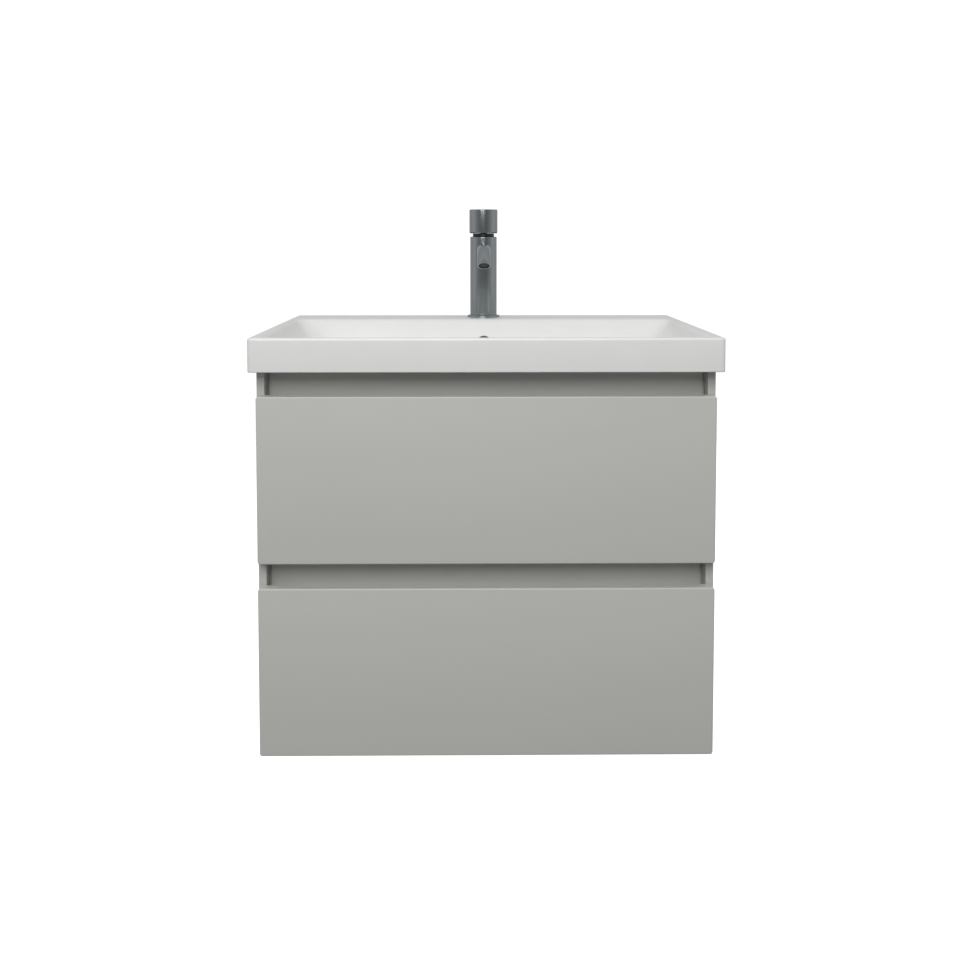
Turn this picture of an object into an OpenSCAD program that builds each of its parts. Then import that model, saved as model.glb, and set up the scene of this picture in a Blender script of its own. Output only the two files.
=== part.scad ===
// Wall-hung bathroom vanity: a two-drawer carcass with grip channels instead of handles,
// a one-piece ceramic basin on top, a single-hole mixer tap, and the waste and trap below.
// The origin is on the wall, at the centre of the four wall-fixing holes.
// X runs to the right, Y into the wall and Z up, so the drawers open towards -Y.

/* [Overall] */
// Width of the basin
basin_w = 610; // [500:1:900]
// Depth of the basin, from the wall to its front
basin_d = 480; // [460:1:600]
// Height of the basin's apron, from the carcass to the rim
apron_h = 44; // [36:1:70]
// How far the basin overhangs each side of the carcass
side_overhang = 7; // [0:0.5:15]
// How far the drawer fronts sit behind the front of the basin
front_setback = 9; // [0:0.5:20]
// Height of the upper drawer front
front_upper_h = 218; // [205:1:320]
// Height of the lower drawer front
front_lower_h = 222; // [205:1:360]
// Height of the open grip gap above each drawer front
grip_gap = 32; // [24:1:45]
// Height of the carcass top above the wall-fixing holes
fixing_drop = 90; // [88:1:110]

/* [Boards] */
// Thickness of the carcass boards
panel_t = 16; // [15:0.5:22]
// Thickness of the drawer fronts
front_t = 20; // [16:0.5:26]
// Radius of the corners of a drawer front
front_corner_r = 4; // [1:0.5:8]
// How much narrower than the carcass a drawer front is, on each side
front_reveal = 2; // [0:0.5:4]
// Air gap between a closed front and the carcass edge
front_gap = 2; // [1.5:0.5:4]
// Thickness of the boards of the drawer boxes
drawer_board_t = 12; // [9:0.5:14]
// Height of the rear rails
rail_h = 70; // [60:1:72]
// Space between the rear rails and the wall
rail_wall_gap = 18; // [17:0.5:24]

/* [Grip channels] */
// Depth of a grip channel behind the carcass edge
channel_depth = 26; // [20:1:32]
// Wall thickness of the channel profile
channel_t = 1.5; // [1:0.1:2.5]
// How far a channel runs down behind the front below it
channel_below = 25; // [18:1:32]
// How far the middle channel runs up behind the front above it
channel_above = 14; // [8:1:20]
// Height of the stiffening lip along the upper channel's free edge
upper_lip = 3; // [2:0.5:8]
// Height of the stiffening lips along the middle channel's free edges
middle_lip = 5; // [2:0.5:8]
// Width of side-board edge left showing beside a channel
channel_edge_w = 10; // [7:0.5:12]
// Shadow gap between a channel's end and the side board
shadow_gap = 3; // [1:0.5:4]
// Depth of the finger bevel cut into the back of a front's top edge
bevel_in = 10; // [6:0.5:12]
// Height of the finger bevel
bevel_h = 24; // [15:1:35]
// Plain length of top edge left at each end of the bevel
bevel_end = 28; // [15:1:60]

/* [Drawers] */
// Height of the upper drawer's sides
upper_side_h = 140; // [80:1:145]
// Height of the lower drawer's sides
lower_side_h = 160; // [80:1:165]
// Clearance between a drawer side and the carcass side
side_clear = 5; // [4:0.5:8]
// Clearance between a drawer's back and the rear rail
back_clear = 17; // [14:1:40]
// Half width of the cut-out round the trap in the upper drawer
cutout_half = 85; // [65:1:120]
// Clearance between the trap and the front of that cut-out
cutout_clear = 14; // [10:1:60]
// Sheet thickness of the runner rails
rail_t = 1.5; // [1:0.1:2]

/* [Basin] */
// Width of the rim round the bowl
rim_w = 14; // [10:1:25]
// Depth of the tap deck behind the bowl
deck_d = 105; // [95:1:130]
// Depth of the bowl below the rim
bowl_depth = 95; // [80:1:100]
// Wall thickness of the bowl
bowl_wall = 9; // [7:0.5:12]
// Thickness of the tap deck
deck_t = 12; // [9:0.5:16]
// Radius of the basin's outer corners, seen from above
basin_corner_r = 6; // [3:0.5:12]
// Radius of the overflow hole
overflow_r = 11; // [6:0.5:12]
// Depth of the overflow hole's centre below the rim
overflow_drop = 36; // [30:1:45]
// Radius of the drain hole
drain_r = 23; // [22:0.5:24]

/* [Tap] */
// Distance from the wall to the tap's axis
tap_back = 48; // [47:0.5:60]
// Radius of the tap hole in the basin
tap_hole_r = 17.5; // [17:0.5:18.5]
// Radius of the tap body
tap_r = 21.25; // [20.5:0.25:25]
// Height of the tap body above the rim
tap_body_h = 129; // [120:1:180]
// Radius of the neck between body and knob
neck_r = 17; // [14:0.5:17.25]
// Height of the neck
neck_h = 5; // [3:0.5:8]
// Radius of the knob
knob_r = 22.5; // [20:0.5:26]
// Height of the knob
knob_h = 38; // [25:1:50]
// Radius of the spout tube
spout_r = 10.5; // [9.5:0.25:11]
// Height of the spout's axis above the rim
spout_h = 108; // [95:1:110]
// Reach of the spout from the tap's axis to its outlet
spout_reach = 110; // [90:1:150]
// Bend radius of the spout
spout_bend_r = 50; // [30:1:60]
// Angle through which the spout bends down
spout_bend = 58; // [40:1:80]

/* [Waste] */
// Outer radius of the waste tail
tail_r = 21; // [20:0.25:21]
// Outer radius of the outlet pipe
pipe_r = 16; // [15:0.25:16]
// Length of outlet pipe that enters the wall
pipe_stub = 35; // [20:1:60]
// Travel of the push plug
plug_travel = 9; // [5:0.5:12]

/* [Hidden] */
$fn = 64;

cut = 1;                       // how far a cutter runs past the face that it cuts
fit_gap = 0.15;                // radial clearance of a threaded or slip fit
running_gap = 0.05;            // radial clearance of a running fit

// Heights and depths of the carcass
carcass_w = basin_w - 2 * side_overhang;
half_w = carcass_w / 2;
inner_half = half_w - panel_t;
carcass_top = fixing_drop;
rim_z = carcass_top + apron_h;
front_face_y = -basin_d + front_setback;
front_back_y = front_face_y + front_t;
carcass_front_y = front_back_y + front_gap;
front_half = half_w - front_reveal;
upper_top = carcass_top - grip_gap;
upper_bottom = upper_top - front_upper_h;
lower_top = upper_bottom - grip_gap;
carcass_bottom = lower_top - front_lower_h;
rail_back_y = -rail_wall_gap;
rail_front_y = rail_back_y - panel_t;
rail_mid_y = (rail_front_y + rail_back_y) / 2;
floor_top = carcass_bottom + panel_t;

// Grip channels and the housings in the side boards that take their ends
channel_back_y = carcass_front_y + channel_depth;
channel_upper_bottom = upper_top - channel_below;
channel_mid_top = upper_bottom + channel_above;
channel_mid_bottom = lower_top - channel_below;
channel_half = half_w - channel_edge_w - shadow_gap;
housing_half = half_w - channel_edge_w;
housing_clear = 1;
bracket_t = 1.5;
bracket_leg = 20;
bracket_h = 40;
bracket_drop = 10;

// Corner fittings of the carcass: each site is [y, z] on the inner face of a side board
bolt_into_side = 10;
bolt_thread_r = 2.5;
bolt_rod_r = 3.5;
bolt_hole_r = 4;
cam_r = 7.5;
cam_depth = 12.5;
cam_inset = 34;
corner_inset = 70;
floor_mid_z = carcass_bottom + panel_t / 2;
upper_rail_z = carcass_top - rail_h / 2;
lower_rail_z = floor_top + rail_h / 2;
floor_cam_ys = [carcass_front_y + corner_inset, -corner_inset];
rail_cam_zs = [upper_rail_z, lower_rail_z];
floor_cams = [for (y = floor_cam_ys) [y, floor_mid_z]];
rail_cams = [for (z = rail_cam_zs) [rail_mid_y, z]];
cam_sites = concat(floor_cams, rail_cams);
dowel_r = 4;
dowel_len = 30;
dowel_into_side = 10;
dowel_offset = 24;
dowel_sites = concat(
    [for (y = floor_cam_ys) [y + dowel_offset, floor_mid_z]],
    [for (z = rail_cam_zs) [rail_mid_y, z + dowel_offset]]
);

// Wall hangers
plate_w = 60;
plate_inset = 32;
fixing_half = inner_half - plate_inset;
fixing_pitch = 24;
fixing_hole_r = 3.3;
plate_t = 2.5;
plate_below = 25;
hook_t = 2;
hook_seat_z = 47;
lip_h = 10;
lip_front_y = -8;
tongue_back_y = -3;
tongue_h = 16;
hanger_bottom_z = 40;
hanger_top_z = 80;
hanger_back_y = -9.5;
hanger_screw_z = 72;
hanger_screw_pitch = 30;
hanger_screw_r = 2.9;
hanger_screw_clear = 0.3;
hanger_head_r = 5;
hanger_head_t = 4;

// Runners: heights are above the runner's base, widths are in from the side board
runner_clear = 4;
runner_front_gap = 3;
runner_back_gap = 12;
runner_upper_z = channel_mid_top + runner_clear;
runner_lower_z = floor_top + runner_clear;
runner_ys = [carcass_front_y + runner_front_gap, rail_front_y - runner_back_gap];
middle_rail_short = 20;
fixed_rail_w = 48;
fixed_flange_h = 30;
fixed_lip_h = 10;
middle_rail_xs = [20, 44];
middle_rail_zs = [3, 11];
drawer_rail_xs = [23, 41];
drawer_rail_zs = [6, 14.5];
side_lift = 4;
runner_screw_z = 22;
runner_screw_ends = 40;
runner_screw_r = 1.9;
runner_head_r = 3.5;
runner_screw_len = 12;
runner_screw_ys = [for (i = [0:2])
    runner_ys[0] + runner_screw_ends
    + i * (runner_ys[1] - runner_ys[0] - 2 * runner_screw_ends) / 2];

// Drawer boxes
side_out = inner_half - side_clear;
side_in = side_out - drawer_board_t;
box_back_y = rail_front_y - back_clear;
box_ys = [front_back_y, box_back_y];
upper_floor_z = runner_upper_z + drawer_rail_zs[1];
lower_floor_z = runner_lower_z + drawer_rail_zs[1];
upper_box_top = runner_upper_z + side_lift + upper_side_h;
lower_box_top = runner_lower_z + side_lift + lower_side_h;
angle_t = 1.5;
angle_leg = 30;
angle_h = 60;
angle_lift = 25;
bumper_r = 4;
bumper_gap = 0.1;
bumper_t = front_gap - bumper_gap;
bumper_inset = 45;

// Bowl of the basin; the runs are how far its walls slope inwards on their way down
bowl_half = basin_w / 2 - rim_w;
bowl_front_y = -basin_d + rim_w;
bowl_back_y = -deck_d;
bowl_side_run = 69;
bowl_back_run = 45;
drain_from_wall = 60;
drain_y = bowl_back_y - bowl_back_run - drain_from_wall;
drain_land = 100;
bowl_floor_z = rim_z - bowl_depth;
bowl_floor_half = bowl_half - bowl_side_run;
bowl_floor_ys = [drain_y - drain_land, bowl_back_y - bowl_back_run];
bowl_top_r = 30;
bowl_floor_r = 45;
apron_wall = 22;
apron_ledge = 7;
apron_side_wall = side_overhang + panel_t + apron_ledge;
boss_r = 36;
boss_drop = 26;
boss_z = bowl_floor_z - boss_drop;
duct_half = 20;
duct_wall = 4;
duct_d = 14;
flange_recess = 2;
flange_r = 32;
flange_t = 3;
flange_clear = 1;

// Waste and bottle trap, stacked down from the underside of the basin
seal_t = 4;
seal_inset = 2;
backnut_t = 10;
backnut_r = 30;
tail_below = 36;
tail_bore_r = 17;
tail_z = boss_z - seal_t - backnut_t - tail_below;
plug_r = 30;
plug_gap = 0.3;
plug_t = 5;
plug_bevel = 2;
plug_rim_zs = [1.5, 2.5, 3.8];
plug_crown = 0.3;
plug_stem_r = 4;
plug_stem_spare = 5;
guide_r = 8;
guide_h = 20;
guide_drop = 10;
plug_stem_h = guide_h + plug_travel + plug_stem_spare;
spoke_t = 3;
overflow_slot_zs = [duct_wall + 1, duct_wall + 7];
nut_r = 27;
nut_lip = 4;
inlet_nut_drop = 9;
inlet_nut_h = 24;
outlet_nut_over = 8;
outlet_nut_h = 22;
pipe_t = 1.5;
spigot_in = 0.5;
spigot_from = 1;
trap_flange_r = tail_r - 0.2;
trap_flange_t = 3;
trap_seal_t = 1;
bottle_r = 27;
bottle_t = 2.5;
bottle_top_z = tail_z - 14;
bottle_bottom_z = tail_z - 80;
dip_z = tail_z - 68;
cup_r = 31;
cup_overlap = 14;
cup_z = bottle_bottom_z - 20;
cup_floor_t = 3;
outlet_z = tail_z - 36;
socket_r = 20.5;
socket_root = 5;
socket_seal_t = 3;
socket_end_y = drain_y + 58;
pipe_start_y = drain_y + 30;
escutcheon_r = 34;
escutcheon_d = 9;
escutcheon_edge = [4, 5];
escutcheon_hub = 6;
cutout_front_y = drain_y - cup_r - cutout_clear;

// Tap
tap_y = -tap_back;
base_ring_r = tap_r + 4.75;
base_ring_h = 3.5;
base_ring_edge = 1;
body_top_z = rim_z + tap_body_h;
edge_chamfer = 1.5;
chamber_clear = 0.4;
cartridge_clear = 0.2;
chamber_r = neck_r + chamber_clear;
chamber_floor_z = rim_z + spout_h - 18;
nut_thread_h = 6;
stem_r = 6;
stem_foot_z = chamber_floor_z + 14;
stem_top_gap = 12;
knob_gap = 0.3;
knob_z = body_top_z + neck_h + knob_gap;
knob_top_z = knob_z + knob_h;
knob_foot_chamfer = 2;
knob_top_chamfer = 1;
inlet_r = 4.5;
inlet_x = 8.5;
inlet_y = -5;
inlet_len = 14;
stud_r = 4;
stud_y = 10;
stud_below = 30;
deck_bottom_z = rim_z - deck_t;
clamp_r = 24;
clamp_t = 3;
stud_nut_r = 7.5;
stud_nut_t = 8;
spout_z = rim_z + spout_h;
spout_root_y = tap_y - chamber_r - 1;
bend_start_y = tap_y - spout_reach + spout_bend_r * sin(spout_bend);
spout_wall = 2.6;
spout_bore_r = spout_r - spout_wall;
aerator_len = 6;
aerator_clear = 0.6;
aerator_recess = 1.5;

// ---- Shared shapes ----

// A block between two corners, each axis given as [low, high]
module span(x, y, z) {
    translate([x[0], y[0], z[0]])
        cube([x[1] - x[0], y[1] - y[0], z[1] - z[0]]);
}

// A flat rectangle between two corners
module span2(x, y) {
    translate([x[0], y[0]])
        square([x[1] - x[0], y[1] - y[0]]);
}

// The right-hand shape and its mirror image on the left
module both_sides() {
    children();
    mirror([1, 0, 0])
        children();
}

// Carries a [y, z] outline along X
module along_x(x) {
    translate([x[0], 0, 0])
        rotate([90, 0, 90])
            linear_extrude(x[1] - x[0])
                children();
}

// A ring round a vertical axis at the given y
module ring_z(y, r, bore, z) {
    translate([0, y, z[0]])
        difference() {
            cylinder(r = r, h = z[1] - z[0]);
            translate([0, 0, -cut])
                cylinder(r = bore, h = z[1] - z[0] + 2 * cut);
        }
}

// A rod along Y between two depths
module rod_y(x, z, r, y) {
    translate([x, y[1], z])
        rotate([90, 0, 0])
            cylinder(r = r, h = y[1] - y[0]);
}

// A rectangle with round corners
module rounded_rect(x, y, r) {
    span2([x[0] + r, x[1] - r], y);
    span2(x, [y[0] + r, y[1] - r]);
    for (cx = [x[0] + r, x[1] - r], cy = [y[0] + r, y[1] - r])
        translate([cx, cy])
            circle(r = r);
}

// ---- Carcass ----

// Places children on the inner face of the right side board, X pointing into the board
module on_side_board(sites) {
    for (site = sites)
        translate([inner_half, site[0], site[1]])
            children();
}

// A hole or pin along X that goes this far into the side board and this far back out of it
module cross_pin(r, into_side, out_of_side) {
    translate([-out_of_side, 0, 0])
        rotate([0, 90, 0])
            cylinder(r = r, h = into_side + out_of_side);
}

function runner_screw_sites(base) = [for (y = runner_screw_ys) [y, base + runner_screw_z]];

module channel_housing(z) {
    span([inner_half - cut, housing_half],
        [carcass_front_y - cut, channel_back_y + housing_clear],
        z);
}

module side_board() {
    difference() {
        span([inner_half, half_w], [carcass_front_y, 0], [carcass_bottom, carcass_top]);
        channel_housing([channel_upper_bottom - housing_clear, carcass_top + cut]);
        channel_housing([channel_mid_bottom - housing_clear, channel_mid_top + housing_clear]);
        on_side_board(cam_sites)
            cross_pin(bolt_thread_r, bolt_into_side, cut);
        on_side_board(dowel_sites)
            cross_pin(dowel_r, dowel_into_side, cut);
        for (base = [runner_upper_z, runner_lower_z])
            on_side_board(runner_screw_sites(base))
                cross_pin(runner_screw_r, runner_screw_len, cut);
    }
}

module side_left() {
    color("#a8a8a4")
        mirror([1, 0, 0])
            side_board();
}

module side_right() {
    color("#a8a8a4")
        side_board();
}

// The holes for cam bolts and dowels in the end of a board
module end_holes(cams, dowels) {
    both_sides() {
        on_side_board(cams)
            cross_pin(bolt_hole_r, cut, cam_inset);
        on_side_board(dowels)
            cross_pin(dowel_r, cut, dowel_len - dowel_into_side);
    }
}

// A cam: an upright disc in the floor, or one lying along Y in a rear rail
module floor_cam(y) {
    translate([inner_half - cam_inset, y, floor_top - cam_depth])
        cylinder(r = cam_r, h = cam_depth);
}

module rail_cam(z) {
    rod_y(inner_half - cam_inset, z, cam_r, [rail_front_y, rail_front_y + cam_depth]);
}

module bottom_panel() {
    color("#b4b4b0")
        difference() {
            span([-inner_half, inner_half], [carcass_front_y, rail_back_y],
                [carcass_bottom, floor_top]);
            end_holes(floor_cams, [dowel_sites[0], dowel_sites[1]]);
            both_sides()
                for (y = floor_cam_ys)
                    floor_cam(y);
        }
}

module rear_rail(z, site, dowel) {
    difference() {
        span([-inner_half, inner_half], [rail_front_y, rail_back_y], z);
        end_holes([site], [dowel]);
        both_sides()
            rail_cam(site[1]);
    }
}

module rear_rail_upper() {
    color("#b4b4b0")
        difference() {
            rear_rail([carcass_top - rail_h, carcass_top], rail_cams[0], dowel_sites[2]);
            both_sides()
                hanger_screw_holes(hanger_screw_r + hanger_screw_clear);
        }
}

module rear_rail_lower() {
    color("#b4b4b0")
        rear_rail([floor_top, floor_top + rail_h], rail_cams[1], dowel_sites[3]);
}

module carcass_dowels() {
    color("burlywood")
        both_sides()
            on_side_board(dowel_sites)
                cross_pin(dowel_r, dowel_into_side, dowel_len - dowel_into_side);
}

module cam_bolts() {
    color("silver")
        both_sides()
            on_side_board(cam_sites) {
                cross_pin(bolt_thread_r, bolt_into_side, 0);
                cross_pin(bolt_rod_r, 0, cam_inset - cam_r);
            }
}

module cam_housings() {
    color("darkgray")
        both_sides() {
            for (y = floor_cam_ys)
                floor_cam(y);
            for (z = rail_cam_zs)
                rail_cam(z);
        }
}

// ---- Grip channels ----

module channel_wall(bottom, top) {
    span2([channel_back_y - channel_t, channel_back_y], [bottom, top]);
}

// The flange that closes a channel at z, with its lip turned up or down
module channel_flange(z, lip) {
    span2([carcass_front_y, channel_back_y], [z, z + channel_t]);
    span2([carcass_front_y, carcass_front_y + channel_t],
        lip > 0 ? [z, z + lip] : [z + channel_t + lip, z + channel_t]);
}

module grip_channel_upper() {
    color("#8f908c")
        along_x([-channel_half, channel_half]) {
            channel_wall(channel_upper_bottom, carcass_top);
            channel_flange(channel_upper_bottom, upper_lip);
        }
}

module grip_channel_middle() {
    color("#8f908c")
        along_x([-channel_half, channel_half]) {
            channel_wall(channel_mid_bottom, channel_mid_top);
            channel_flange(channel_mid_bottom, middle_lip);
            channel_flange(channel_mid_top - channel_t, -middle_lip);
        }
}

// An angle that holds a channel's end to the side board
module channel_bracket(top) {
    z = [top - bracket_h, top];
    span([inner_half - bracket_t, inner_half], [channel_back_y, channel_back_y + bracket_leg], z);
    span([inner_half - bracket_leg, inner_half], [channel_back_y, channel_back_y + bracket_t], z);
}

module channel_brackets() {
    color("silver")
        both_sides() {
            channel_bracket(carcass_top - bracket_drop);
            channel_bracket(channel_mid_top - bracket_drop);
        }
}

// ---- Wall hangers ----

plate_xs = [fixing_half - plate_w / 2, fixing_half + plate_w / 2];

module hanger_screw_holes(r) {
    for (side = [-1, 1])
        rod_y(fixing_half + side * hanger_screw_pitch / 2, hanger_screw_z, r,
            [rail_front_y - cut, hanger_back_y + cut]);
}

module hanger() {
    difference() {
        along_x(plate_xs) {
            span2([rail_back_y, hanger_back_y], [hanger_bottom_z, hanger_top_z]);
            span2([rail_back_y, tongue_back_y],
                [hook_seat_z + tongue_h - hook_t, hook_seat_z + tongue_h]);
            span2([tongue_back_y - hook_t, tongue_back_y],
                [hook_seat_z, hook_seat_z + tongue_h]);
        }
        hanger_screw_holes(hanger_screw_r);
    }
}

module hanger_left() {
    color("silver")
        mirror([1, 0, 0])
            hanger();
}

module hanger_right() {
    color("silver")
        hanger();
}

module hanger_screws() {
    color("gray")
        both_sides()
            for (side = [-1, 1]) {
                x = fixing_half + side * hanger_screw_pitch / 2;
                rod_y(x, hanger_screw_z, hanger_screw_r, [rail_front_y, hanger_back_y]);
                rod_y(x, hanger_screw_z, hanger_head_r,
                    [rail_front_y - hanger_head_t, rail_front_y]);
            }
}

module wall_plates() {
    color("silver")
        both_sides()
            difference() {
                along_x(plate_xs) {
                    span2([-plate_t, 0], [-plate_below, hook_seat_z]);
                    span2([lip_front_y, 0], [hook_seat_z - hook_t, hook_seat_z]);
                    span2([lip_front_y, lip_front_y + hook_t],
                        [hook_seat_z - hook_t, hook_seat_z + lip_h]);
                }
                for (z = [-fixing_pitch / 2, fixing_pitch / 2])
                    rod_y(fixing_half, z, fixing_hole_r, [-plate_t - cut, cut]);
            }
}

// ---- Basin ----

// A slab with upright round corners, used to loft the bowl
module bowl_slab(half, y, r, z) {
    for (x = [-half + r, half - r], cy = [y[0] + r, y[1] - r])
        translate([x, cy, z])
            cylinder(r = r, h = cut, $fn = 32);
}

// The bowl, grown outwards and downwards by the wall for its outside
module bowl_form(wall, floor_z, top_z) {
    hull() {
        bowl_slab(bowl_half + wall, [bowl_front_y - wall, bowl_back_y + wall],
            bowl_top_r + wall, top_z - cut);
        bowl_slab(bowl_floor_half + wall, [bowl_floor_ys[0] - wall, bowl_floor_ys[1] + wall],
            bowl_floor_r + wall, floor_z);
    }
}

// The duct that leads the overflow down the back of the bowl and under it to the drain
module overflow_duct(shrink) {
    half = duct_half - shrink;
    back = duct_d - shrink;
    top_y = bowl_back_y - bowl_back_run * (overflow_drop - overflow_r) / bowl_depth;
    low_y = bowl_floor_ys[1];
    top_z = rim_z - overflow_drop + overflow_r + duct_wall - shrink;
    hull() {
        span([-half, half], [top_y + bowl_wall - cut, top_y + bowl_wall + back],
            [top_z - cut, top_z]);
        span([-half, half], [low_y + bowl_wall - cut, low_y + bowl_wall + back],
            [boss_z + shrink, bowl_floor_z]);
    }
    span([-half, half], [drain_y + (shrink > 0 ? drain_r - cut : boss_r - duct_wall),
            low_y + bowl_wall + back],
        [boss_z + shrink, bowl_floor_z - bowl_wall - duct_wall + shrink]);
}

module basin() {
    color("white")
        difference() {
            union() {
                difference() {
                    translate([0, 0, carcass_top])
                        linear_extrude(apron_h)
                            rounded_rect([-basin_w / 2, basin_w / 2], [-basin_d, 0],
                                basin_corner_r);
                    span([-basin_w / 2 + apron_side_wall, basin_w / 2 - apron_side_wall],
                        [-basin_d + apron_wall, -apron_wall],
                        [carcass_top - cut, deck_bottom_z]);
                }
                bowl_form(bowl_wall, bowl_floor_z - bowl_wall, rim_z - 2 * cut);
                overflow_duct(0);
                translate([0, drain_y, boss_z])
                    cylinder(r = boss_r, h = boss_drop);
            }
            bowl_form(0, bowl_floor_z, rim_z + 2 * cut);
            overflow_duct(duct_wall);
            ring_z(drain_y, flange_r + flange_clear, 0, [bowl_floor_z - flange_recess, bowl_floor_z + cut]);
            translate([0, drain_y, boss_z - cut])
                cylinder(r = drain_r, h = boss_drop + 2 * cut);
            translate([0, tap_y, deck_bottom_z - cut])
                cylinder(r = tap_hole_r, h = deck_t + 2 * cut);
            rod_y(0, rim_z - overflow_drop, overflow_r,
                [bowl_back_y - bowl_back_run, bowl_back_y - 2 * duct_wall]);
        }
}

// ---- Waste and trap ----

module waste_body() {
    flange_z = bowl_floor_z - flange_recess;
    color("dimgray")
        difference() {
            union() {
                ring_z(drain_y, flange_r, tail_bore_r, [flange_z, flange_z + flange_t]);
                ring_z(drain_y, tail_r, tail_bore_r, [tail_z, flange_z]);
                ring_z(drain_y, guide_r, plug_stem_r + running_gap,
                    [flange_z - guide_h - guide_drop, flange_z - guide_drop]);
                for (turn = [0, 120, 240])
                    translate([0, drain_y, flange_z - guide_h])
                        rotate([0, 0, turn])
                            span([guide_r - cut, tail_bore_r + cut], [-spoke_t / 2, spoke_t / 2],
                                [0, spoke_t]);
            }
            span([-duct_half / 2, duct_half / 2], [drain_y + guide_r + cut, drain_y + tail_r + cut],
                [boss_z + overflow_slot_zs[0], boss_z + overflow_slot_zs[1]]);
        }
}

module waste_plug() {
    top_z = bowl_floor_z - flange_recess + flange_t + plug_gap;
    color("dimgray") {
        translate([0, drain_y, top_z])
            rotate_extrude()
                polygon([[0, 0], [plug_r - plug_bevel, 0], [plug_r, plug_rim_zs[0]],
                    [plug_r, plug_rim_zs[1]], [plug_r - plug_bevel, plug_rim_zs[2]],
                    [plug_r / 2, plug_t - plug_crown], [0, plug_t]]);
        translate([0, drain_y, top_z - plug_stem_h])
            cylinder(r = plug_stem_r, h = plug_stem_h + cut);
    }
}

module waste_seal() {
    color("#303030")
        ring_z(drain_y, boss_r - seal_inset, tail_r + fit_gap, [boss_z - seal_t, boss_z]);
}

module waste_backnut() {
    z = boss_z - seal_t - backnut_t;
    color("silver")
        translate([0, drain_y, z])
            difference() {
                cylinder(r = backnut_r, h = backnut_t, $fn = 6);
                translate([0, 0, -cut])
                    cylinder(r = tail_r + fit_gap, h = backnut_t + 2 * cut);
            }
}

// A union nut standing on its lip: wide bore above for the thread, narrow bore in the lip
module union_nut(thread_bore, pipe_bore, h, lip) {
    difference() {
        cylinder(r = nut_r, h = h, $fn = 12);
        translate([0, 0, lip])
            cylinder(r = thread_bore, h = h);
        translate([0, 0, -cut])
            cylinder(r = pipe_bore, h = h);
    }
}

module trap_inlet_nut() {
    color("white")
        translate([0, drain_y, tail_z - inlet_nut_drop])
            union_nut(tail_r + fit_gap, pipe_r + fit_gap, inlet_nut_h, nut_lip);
}

module trap_body() {
    color("white")
        difference() {
            union() {
                translate([0, drain_y, bottle_bottom_z])
                    cylinder(r = bottle_r, h = bottle_top_z - bottle_bottom_z);
                translate([0, drain_y, bottle_top_z - cut])
                    cylinder(r = pipe_r, h = tail_z - trap_seal_t - bottle_top_z + cut);
                translate([0, drain_y, tail_z - trap_seal_t - trap_flange_t])
                    cylinder(r = trap_flange_r, h = trap_flange_t);
                rod_y(0, outlet_z, socket_r, [drain_y + bottle_r - socket_root, socket_end_y]);
            }
            difference() {
                translate([0, drain_y, bottle_bottom_z - cut])
                    cylinder(r = bottle_r - bottle_t,
                        h = bottle_top_z - bottle_bottom_z - bottle_t + cut);
                translate([0, drain_y, dip_z])
                    cylinder(r = pipe_r, h = tail_z - dip_z);
            }
            translate([0, drain_y, dip_z - cut])
                cylinder(r = pipe_r - pipe_t, h = tail_z - dip_z + 2 * cut);
            rod_y(0, outlet_z, pipe_r + fit_gap,
                [drain_y + bottle_r - socket_root - cut, socket_end_y + cut]);
        }
}

module trap_cup() {
    h = bottle_bottom_z + cup_overlap - cup_z;
    color("white")
        translate([0, drain_y, cup_z])
            difference() {
                cylinder(r = cup_r, h = h);
                translate([0, 0, cup_floor_t])
                    cylinder(r = bottle_r - bottle_t, h = h);
                translate([0, 0, bottle_bottom_z - cup_z])
                    cylinder(r = bottle_r + fit_gap, h = h);
            }
}

module trap_outlet_nut() {
    color("white")
        translate([0, socket_end_y + outlet_nut_over, outlet_z])
            rotate([90, 0, 0])
                union_nut(socket_r + fit_gap, pipe_r + fit_gap, outlet_nut_h, nut_lip);
}

module trap_outlet_pipe() {
    color("white")
        difference() {
            union() {
                rod_y(0, outlet_z, pipe_r, [pipe_start_y, spigot_from]);
                rod_y(0, outlet_z, pipe_r - spigot_in, [pipe_start_y, pipe_stub]);
            }
            rod_y(0, outlet_z, pipe_r - pipe_t, [pipe_start_y - cut, pipe_stub + cut]);
        }
}

module trap_seals() {
    color("#303030") {
        ring_z(drain_y, trap_flange_r, pipe_r - pipe_t, [tail_z - trap_seal_t, tail_z]);
        difference() {
            rod_y(0, outlet_z, socket_r, [socket_end_y, socket_end_y + socket_seal_t]);
            rod_y(0, outlet_z, pipe_r + fit_gap,
                [socket_end_y - cut, socket_end_y + socket_seal_t + cut]);
        }
    }
}

module wall_escutcheon() {
    color("white")
        translate([0, 0, outlet_z])
            rotate([90, 0, 0])
                rotate_extrude()
                    polygon([[pipe_r + fit_gap, 0], [escutcheon_r, 0],
                        [escutcheon_r - escutcheon_edge[0], escutcheon_edge[1]],
                        [pipe_r + escutcheon_hub, escutcheon_d],
                        [pipe_r + fit_gap, escutcheon_d]]);
}

// ---- Tap ----

module tap_body() {
    color("#5a5e5e")
        difference() {
            translate([0, tap_y, rim_z])
                rotate_extrude()
                    polygon([[0, 0], [tap_r, 0], [tap_r, tap_body_h - edge_chamfer],
                        [tap_r - edge_chamfer, tap_body_h], [0, tap_body_h]]);
            translate([0, tap_y, chamber_floor_z])
                cylinder(r = chamber_r, h = tap_body_h);
            rod_y(0, spout_z, spout_r, [tap_y - tap_r - cut, spout_root_y]);
            for (x = [-inlet_x, inlet_x])
                translate([x, tap_y + inlet_y, rim_z - cut])
                    cylinder(r = inlet_r, h = inlet_len + cut);
            translate([0, tap_y + stud_y, rim_z - cut])
                cylinder(r = stud_r, h = inlet_len + cut);
        }
}

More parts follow.
